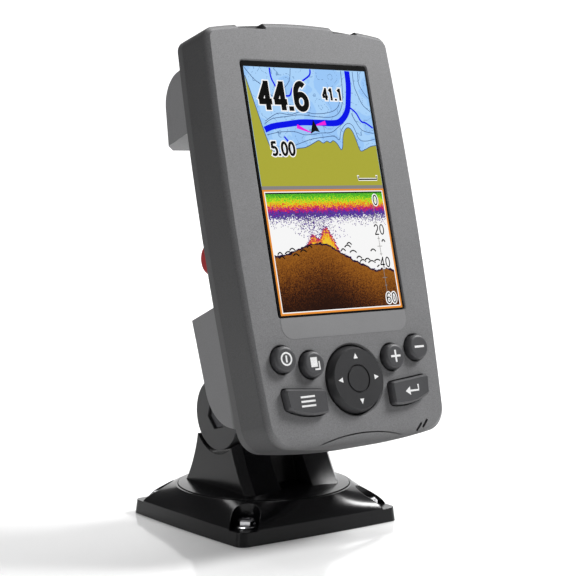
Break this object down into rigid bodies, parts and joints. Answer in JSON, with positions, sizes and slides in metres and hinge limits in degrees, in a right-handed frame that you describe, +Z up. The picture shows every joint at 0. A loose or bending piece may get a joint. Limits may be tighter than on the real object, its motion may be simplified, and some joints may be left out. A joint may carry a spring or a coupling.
{
  "type": "fish finder",
  "caption": "Portrait sonar and chart display head with a key row and cursor pad, clipped to a quick-release tilt and swivel bracket.",
  "frame": {"origin": "centre of the base's underside, between the four deck screws", "axes": "+Z up from the deck, the screen faces -Y, +X to the right seen from in front of the screen"},
  "size_m": [0.0932, 0.1051, 0.2005],
  "materials": {
    "base_gloss": "gloss black moulding",
    "washer_steel": "brushed",
    "screw_steel": "bright plated",
    "cradle_black": "satin dark grey moulding",
    "spring_steel": "blued spring steel",
    "release_red": "satin red",
    "bezel_grey": "fine spark-textured grey",
    "housing_grey": "fine spark-textured grey",
    "seal_rubber": "matt",
    "lens_glass": "clear hard-coated",
    "lcd_glass": "lit display",
    "light_guide": "clear acrylic",
    "board_green": "solder mask",
    "tray_steel": "tin plated",
    "chip_black": "moulded epoxy",
    "ceramic_patch": "ceramic",
    "ribbon_amber": "polyimide",
    "keypad_silicone": "silicone",
    "socket_black": "glass-filled nylon",
    "pin_brass": "gold plated",
    "key_rubber": "matt coated rubber",
    "pivot_plastic": "acetal"
  },
  "bodies": {
    "base": {"base_plate": "base_gloss"},
    "yoke": {"swivel_yoke": "base_gloss", "friction_washers": "washer_steel", "swivel_washer": "washer_steel", "swivel_screws": "screw_steel"},
    "cradle": {"cradle_frame": "cradle_black", "latch_spring": "spring_steel", "tilt_bolt": "screw_steel", "tilt_nut": "screw_steel"},
    "release_left": {"release_button_left": "release_red"},
    "release_right": {"release_button_right": "release_red"},
    "head": {"front_bezel": "bezel_grey", "rear_housing": "housing_grey", "housing_seal": "seal_rubber", "housing_screws": "screw_steel", "lens_window": "lens_glass", "window_gasket": "seal_rubber", "lcd_panel": "lcd_glass", "light_guide": "light_guide", "led_strip": "board_green", "lcd_tray": "tray_steel", "main_board": "board_green", "board_screws": "screw_steel", "board_chips": "chip_black", "shield_can": "tray_steel", "gps_patch": "ceramic_patch", "buzzer": "chip_black", "display_ribbon": "ribbon_amber", "keypad_mat": "keypad_silicone", "key_board": "board_green", "connector_socket": "socket_black", "connector_seal": "seal_rubber", "connector_pins": "pin_brass"},
    "cursor_gimbal": {"cursor_pivot": "pivot_plastic"},
    "cursor": {"cursor_pad": "key_rubber"},
    "power_key": {"power_key": "key_rubber"},
    "pages_key": {"pages_key": "key_rubber"},
    "zoom_in_key": {"zoom_in_key": "key_rubber"},
    "zoom_out_key": {"zoom_out_key": "key_rubber"},
    "menu_key": {"menu_key": "key_rubber"},
    "enter_key": {"enter_key": "key_rubber"}
  },
  "joints": [
    {"name": "base_swivel", "type": "hinge", "parent": "base", "child": "yoke", "pos_m": [0, 0, 0.0119], "axis": [0, 0, 1], "range_deg": [-90, 90]},
    {"name": "head_tilt", "type": "hinge", "parent": "yoke", "child": "cradle", "pos_m": [0, 0, 0.045], "axis": [1, 0, 0], "range_deg": [-45, 20]},
    {"name": "head_pull_off", "type": "slide", "parent": "cradle", "child": "head", "axis": [0, -0.9681, 0.2504], "range_m": [0, 0.06]},
    {"name": "release_left_press", "type": "slide", "parent": "cradle", "child": "release_left", "axis": [1, 0, 0], "range_m": [0, 0.0025], "stiffness_N_per_m": 900, "springref_m": -0.001},
    {"name": "release_right_press", "type": "slide", "parent": "cradle", "child": "release_right", "axis": [-1, 0, 0], "range_m": [0, 0.0025], "stiffness_N_per_m": 900, "springref_m": -0.001},
    {"name": "power_key_press", "type": "slide", "parent": "head", "child": "power_key", "axis": [0, 0.9681, -0.2504], "range_m": [0, 0.001], "stiffness_N_per_m": 500, "springref_m": -0.0003},
    {"name": "pages_key_press", "type": "slide", "parent": "head", "child": "pages_key", "axis": [0, 0.9681, -0.2504], "range_m": [0, 0.001], "stiffness_N_per_m": 500, "springref_m": -0.0003},
    {"name": "zoom_in_key_press", "type": "slide", "parent": "head", "child": "zoom_in_key", "axis": [0, 0.9681, -0.2504], "range_m": [0, 0.001], "stiffness_N_per_m": 500, "springref_m": -0.0003},
    {"name": "zoom_out_key_press", "type": "slide", "parent": "head", "child": "zoom_out_key", "axis": [0, 0.9681, -0.2504], "range_m": [0, 0.001], "stiffness_N_per_m": 500, "springref_m": -0.0003},
    {"name": "menu_key_press", "type": "slide", "parent": "head", "child": "menu_key", "axis": [0, 0.9681, -0.2504], "range_m": [0, 0.001], "stiffness_N_per_m": 500, "springref_m": -0.0003},
    {"name": "enter_key_press", "type": "slide", "parent": "head", "child": "enter_key", "axis": [0, 0.9681, -0.2504], "range_m": [0, 0.001], "stiffness_N_per_m": 500, "springref_m": -0.0003},
    {"name": "cursor_rock_sideways", "type": "hinge", "parent": "head", "child": "cursor_gimbal", "pos_m": [0, -0.0554, 0.06278], "axis": [0, 0.2504, 0.9681], "range_deg": [-4, 4], "stiffness_Nm_per_rad": 0.05},
    {"name": "cursor_rock_up_down", "type": "hinge", "parent": "cursor_gimbal", "child": "cursor", "pos_m": [0, -0.0554, 0.06278], "axis": [1, 0, 0], "range_deg": [-4, 4], "stiffness_Nm_per_rad": 0.05}
  ]
}
